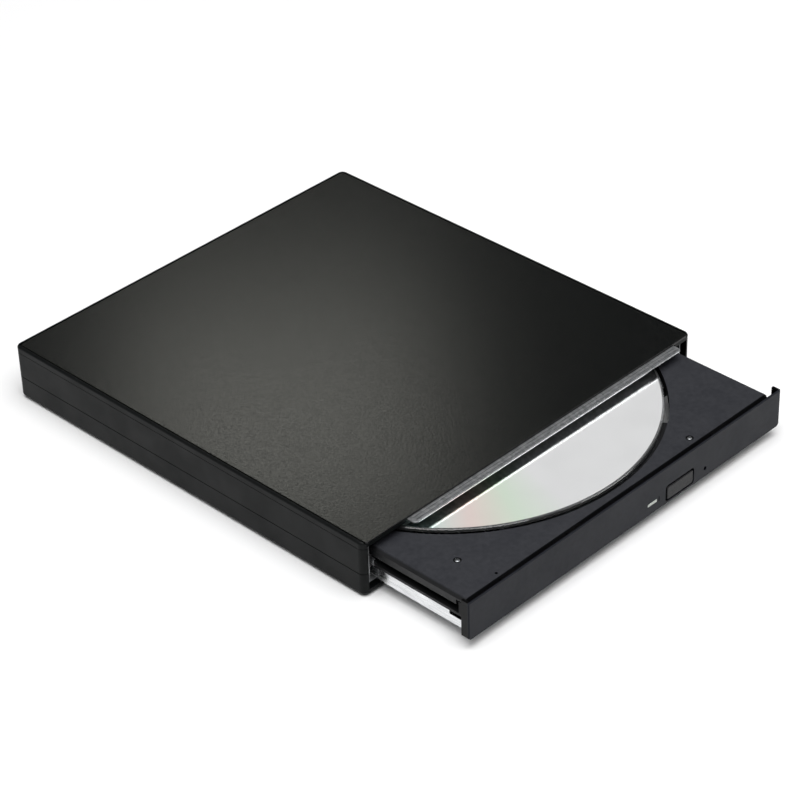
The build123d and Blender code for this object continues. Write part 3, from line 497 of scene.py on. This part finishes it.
def addBlock(bm, low, high):
    low, high = Vector(low), Vector(high)
    made = bmesh.ops.create_cube(bm, size=1.0)["verts"]
    bmesh.ops.scale(bm, vec=high - low, verts=made)
    bmesh.ops.translate(bm, vec=(low + high) / 2, verts=made)
    return made


def edgesOf(verts):
    return list({e for v in verts for e in v.link_edges})


def alongAxis(edge, axis):
    line = (edge.verts[1].co - edge.verts[0].co).normalized()
    return abs(line[axis]) > 0.999


def atLevel(edge, axis, level):
    return all(abs(v.co[axis] - level) < 1e-6 for v in edge.verts)


def spinProfile(bm, points, centre, steps=96, closed=True):
    verts = [bm.verts.new(Vector((centre[0] + r, centre[1], z))) for r, z in points]
    edges = [bm.edges.new(pair) for pair in zip(verts, verts[1:])]
    if closed:
        edges.append(bm.edges.new((verts[-1], verts[0])))
    bmesh.ops.spin(bm, geom=verts + edges, cent=centre, axis=(0, 0, 1), angle=2 * pi, steps=steps,
                   use_merge=True)
    bmesh.ops.remove_doubles(bm, verts=bm.verts, dist=1e-7)
    bmesh.ops.recalc_face_normals(bm, faces=bm.faces)


discShape = {
    "bore": 7.5 * mm,
    "metalOuter": 59.3 * mm,
    "metalInner": 22.5 * mm,
    "metalThick": 0.03 * mm,
    "stackingRing": 17.2 * mm,
    "ringDeep": 0.15 * mm,
    "edgeRound": 0.2 * mm,
    "steps": 256,
}


def makeDisc():
    low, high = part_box("disc")
    cx, cy = (low.x + high.x) / 2, (low.y + high.y) / 2
    outer = (high.x - low.x) / 2
    bore, cut, ring = discShape["bore"], discShape["edgeRound"], discShape["stackingRing"]
    top, under = high.z - discShape["metalThick"], low.z
    ridge = under - discShape["ringDeep"]
    bm = bmesh.new()
    spinProfile(bm, [
        (bore, under + cut), (bore, top - cut), (bore + cut, top), (outer - cut, top), (outer, top - cut),
        (outer, under + cut), (outer - cut, under), (ring + 0.9 * mm, under), (ring + 0.5 * mm, ridge),
        (ring, ridge), (ring - 0.4 * mm, under), (bore + cut, under)],
        (cx, cy, 0), discShape["steps"])
    makePiece("discClear", bm, "clear", "spindle", ["disc"])
    bm = bmesh.new()
    inner, outer = discShape["metalInner"], discShape["metalOuter"]
    spinProfile(bm, [(inner, top), (inner, high.z), (outer, high.z), (outer, top)], (cx, cy, 0),
                discShape["steps"])
    makePiece("discMirror", bm, "mirror", "spindle", [], 20.0, weighted=False)


plateShape = {"edgeRound": 0.14 * mm, "cornerRound": 1.1 * mm}


def makeTopPlate():
    low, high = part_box("top_plate")
    bm = bmesh.new()
    made = addBlock(bm, low, high)
    bevelEdges(bm, [e for e in edgesOf(made) if alongAxis(e, 2)], plateShape["cornerRound"], 6)
    front = [e for e in bm.edges if atLevel(e, 2, high.z) and atLevel(e, 1, low.y)]
    rest = [e for e in bm.edges if atLevel(e, 2, high.z) and not atLevel(e, 1, low.y)]
    bevelEdges(bm, front + rest, plateShape["edgeRound"], 3)
    makePiece("topPlate", bm, "plate", "enclosure", ["top_plate"])


# the folded hem along the cover's front lip
hemShape = {"radius": 0.38 * mm, "drop": 0.37 * mm, "proud": 0.03 * mm, "leftInset": 14.9 * mm,
            "rightInset": 5.8 * mm, "endRound": 0.12 * mm, "steps": 20}


def makeHem():
    low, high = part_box("drive_top_cover")
    radius = hemShape["radius"]
    left, right = low.x + hemShape["leftInset"], high.x - hemShape["rightInset"]
    bm = bmesh.new()
    made = bmesh.ops.create_cone(bm, cap_ends=True, segments=hemShape["steps"], radius1=radius,
                                 radius2=radius, depth=right - left)["verts"]
    bmesh.ops.rotate(bm, cent=(0, 0, 0), matrix=Matrix.Rotation(radians(90), 3, "Y"), verts=made)
    middle = Vector(((left + right) / 2, low.y + radius - hemShape["proud"], high.z - hemShape["drop"]))
    bmesh.ops.translate(bm, vec=middle, verts=made)
    ends = [e for e in bm.edges if atLevel(e, 0, left) or atLevel(e, 0, right)]
    bevelEdges(bm, ends, hemShape["endRound"], 3)
    makePiece("coverHem", bm, "steel", "enclosure", [])


buttonShape = {"capDeep": 2.05 * mm, "cornerRound": 0.7 * mm, "faceRound": 0.32 * mm,
               "stemHalf": 1.5 * mm, "stemLow": 1.75 * mm, "stemHigh": 2.85 * mm,
               "stemRound": 0.12 * mm, "stemInCap": 0.2 * mm}


def makeButton():
    low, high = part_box("eject_button")
    back = low.y + buttonShape["capDeep"]
    bm = bmesh.new()
    made = addBlock(bm, low, (high.x, back, high.z))
    bevelEdges(bm, [e for e in edgesOf(made) if alongAxis(e, 1)], buttonShape["cornerRound"], 6)
    front = [e for e in bm.edges if atLevel(e, 1, low.y)]
    bevelEdges(bm, front, buttonShape["faceRound"], 4)
    middle = (low.x + high.x) / 2
    half = buttonShape["stemHalf"]
    stem = addBlock(bm, (middle - half, back - buttonShape["stemInCap"], low.z + buttonShape["stemLow"]),
                    (middle + half, high.y, low.z + buttonShape["stemHigh"]))
    bevelEdges(bm, edgesOf(stem), buttonShape["stemRound"], 2)
    makePiece("ejectButton", bm, "button", "eject_button", ["eject_button"])


lensShape = {"round": 0.2 * mm}


def makeStatusLens():
    low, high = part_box("status_lens")
    bm = bmesh.new()
    made = addBlock(bm, low, high)
    bevelEdges(bm, [e for e in edgesOf(made) if alongAxis(e, 1)], lensShape["round"], 4)
    front = [e for e in bm.edges if atLevel(e, 1, low.y)]
    bevelEdges(bm, front, lensShape["round"] / 2, 3)
    makePiece("statusLens", bm, "lens", "drawer", ["status_lens"])


# the screws that hold the steel pan, which show as bright pips in the tray
pipShape = {"head": 0.75 * mm, "headTall": 0.45 * mm, "shank": 0.5 * mm, "dome": 0.22 * mm,
            "domeSteps": 5, "steps": 32}


def makePips():
    low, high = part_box("tray_screws")
    head, dome = pipShape["head"], pipShape["dome"]
    under, last = high.z - pipShape["headTall"], pipShape["domeSteps"]
    bm = bmesh.new()
    for x, y in ((low.x + head, high.y - head), (high.x - head, low.y + head)):
        ring = [(0.0, low.z), (pipShape["shank"], low.z), (pipShape["shank"], under), (head, under)]
        for step in range(last + 1):
            angle = radians(90 * step / last)
            ring.append((head * cos(angle) if step < last else 0.0, high.z - dome + dome * sin(angle)))
        spinProfile(bm, ring, (x, y, 0), pipShape["steps"], closed=False)
    makePiece("panScrews", bm, "pip", "drawer", ["tray_screws"], 50.0)


footShape = {"radius": 5.0 * mm, "round": 0.35 * mm, "dimple": 3.2 * mm, "dimpleSlope": 0.3 * mm,
             "dimpleDeep": 0.25 * mm, "steps": 64}


def makeFeet():
    low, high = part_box("rubber_feet")
    radius, cut, dimple = footShape["radius"], footShape["round"], footShape["dimple"]
    floorOfDimple = low.z + footShape["dimpleDeep"]
    bm = bmesh.new()
    for x in (low.x + radius, high.x - radius):
        for y in (low.y + radius, high.y - radius):
            ring = [(0.0, high.z), (radius, high.z), (radius, low.z + cut),
                    (radius - 0.3 * cut, low.z + 0.3 * cut), (radius - cut, low.z), (dimple, low.z),
                    (dimple - footShape["dimpleSlope"], floorOfDimple), (0.0, floorOfDimple)]
            spinProfile(bm, ring, (x, y, 0), footShape["steps"], closed=False)
    makePiece("rubberFeet", bm, "rubber", "enclosure", ["rubber_feet"])


contactShape = {"count": 5, "width": 0.3 * mm, "pitch": 0.72 * mm, "thick": 0.06 * mm, "level": 1.1 * mm,
                "start": 3.0 * mm, "short": 0.5 * mm, "edgeRound": 0.02 * mm}


def makeContacts():
    low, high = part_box("usb_tongue")
    middle = (low.x + high.x) / 2
    top = low.z + contactShape["level"]
    half = contactShape["width"] / 2
    bm = bmesh.new()
    for number in range(contactShape["count"]):
        x = middle + (number - (contactShape["count"] - 1) / 2) * contactShape["pitch"]
        made = addBlock(bm, (x - half, low.y + contactShape["start"], top - contactShape["thick"]),
                        (x + half, high.y - contactShape["short"], top))
        bevelEdges(bm, edgesOf(made), contactShape["edgeRound"], 1)
    makePiece("usbContacts", bm, "gold", "enclosure", [])


floorShape = {"reach": 6.0}


def addFloor():
    bm = bmesh.new()
    bmesh.ops.create_grid(bm, x_segments=1, y_segments=1, size=floorShape["reach"])
    mesh = bpy.data.meshes.new("floor")
    bm.to_mesh(mesh)
    bm.free()
    mesh.materials.append(plainFinish("floorPaper"))
    floor = bpy.data.objects.new("floor", mesh)
    bpy.context.scene.collection.objects.link(floor)


addCamera()
litGroups = addLights()
addFloor()
print("camera, lights and floor placed")
dressNodes()
print("CAD nodes dressed")
makeDisc()
makeTopPlate()
makeHem()
makeButton()
makeStatusLens()
makePips()
makeFeet()
makeContacts()
for group, names in litPieces.items():
    for name in names:
        litGroups[group].objects.link(bpy.data.objects[name])
print("pieces made")
